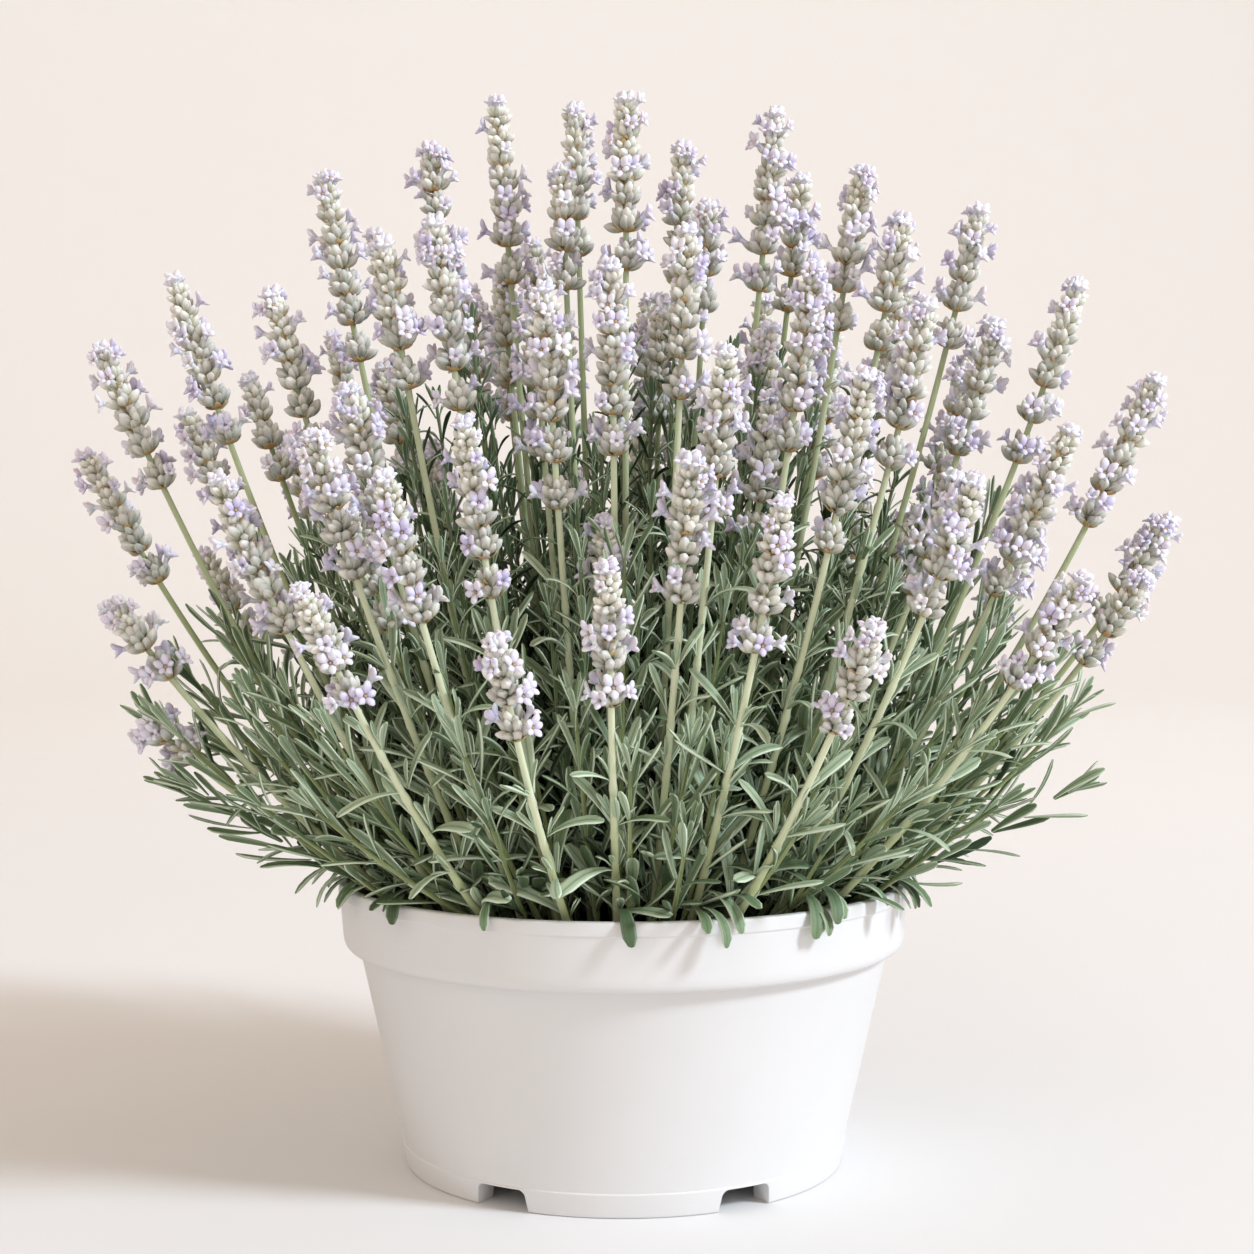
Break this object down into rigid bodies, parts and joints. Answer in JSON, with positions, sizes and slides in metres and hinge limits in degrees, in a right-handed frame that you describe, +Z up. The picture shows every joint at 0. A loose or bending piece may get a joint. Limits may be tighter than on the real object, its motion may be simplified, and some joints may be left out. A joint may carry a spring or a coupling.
{
  "type": "potted lavender",
  "caption": "Flowering lavender in a shallow round plastic pot: flower stalks with whorled spikes and narrow grey-green leafy shoots fan out from the soil.",
  "frame": {"origin": "middle of the pot's foot, on the surface it stands on", "axes": "+Z up; -Y towards the front, the side with the two drainage notches seen first; +X to the right"},
  "size_m": [0.4453, 0.3312, 0.4242],
  "materials": {
    "white_plastic": "satin",
    "potting_soil": "matte",
    "flower_stalk": "matte",
    "lavender_leaf": "matte"
  },
  "bodies": {
    "root": {"pot": "white_plastic", "soil": "potting_soil", "flower_stalk_01": "flower_stalk", "flower_stalk_02": "flower_stalk", "flower_stalk_03": "flower_stalk", "flower_stalk_04": "flower_stalk", "flower_stalk_05": "flower_stalk", "flower_stalk_06": "flower_stalk", "flower_stalk_07": "flower_stalk", "flower_stalk_08": "flower_stalk", "flower_stalk_09": "flower_stalk", "flower_stalk_10": "flower_stalk", "flower_stalk_11": "flower_stalk", "flower_stalk_12": "flower_stalk", "flower_stalk_13": "flower_stalk", "flower_stalk_14": "flower_stalk", "flower_stalk_15": "flower_stalk", "flower_stalk_16": "flower_stalk", "flower_stalk_17": "flower_stalk", "flower_stalk_18": "flower_stalk", "flower_stalk_19": "flower_stalk", "flower_stalk_20": "flower_stalk", "flower_stalk_21": "flower_stalk", "flower_stalk_22": "flower_stalk", "flower_stalk_23": "flower_stalk", "flower_stalk_24": "flower_stalk", "flower_stalk_25": "flower_stalk", "flower_stalk_26": "flower_stalk", "flower_stalk_27": "flower_stalk", "flower_stalk_28": "flower_stalk", "flower_stalk_29": "flower_stalk", "flower_stalk_30": "flower_stalk", "flower_stalk_31": "flower_stalk", "flower_stalk_32": "flower_stalk", "flower_stalk_33": "flower_stalk", "flower_stalk_34": "flower_stalk", "flower_stalk_35": "flower_stalk", "flower_stalk_36": "flower_stalk", "flower_stalk_37": "flower_stalk", "flower_stalk_38": "flower_stalk", "flower_stalk_39": "flower_stalk", "flower_stalk_40": "flower_stalk", "flower_stalk_41": "flower_stalk", "flower_stalk_42": "flower_stalk", "flower_stalk_43": "flower_stalk", "flower_stalk_44": "flower_stalk", "flower_stalk_45": "flower_stalk", "flower_stalk_46": "flower_stalk", "leafy_shoot_01": "lavender_leaf", "leafy_shoot_02": "lavender_leaf", "leafy_shoot_03": "lavender_leaf", "leafy_shoot_04": "lavender_leaf", "leafy_shoot_05": "lavender_leaf", "leafy_shoot_06": "lavender_leaf", "leafy_shoot_07": "lavender_leaf", "leafy_shoot_08": "lavender_leaf", "leafy_shoot_09": "lavender_leaf", "leafy_shoot_10": "lavender_leaf", "leafy_shoot_11": "lavender_leaf", "leafy_shoot_12": "lavender_leaf"}
  },
  "joints": []
}
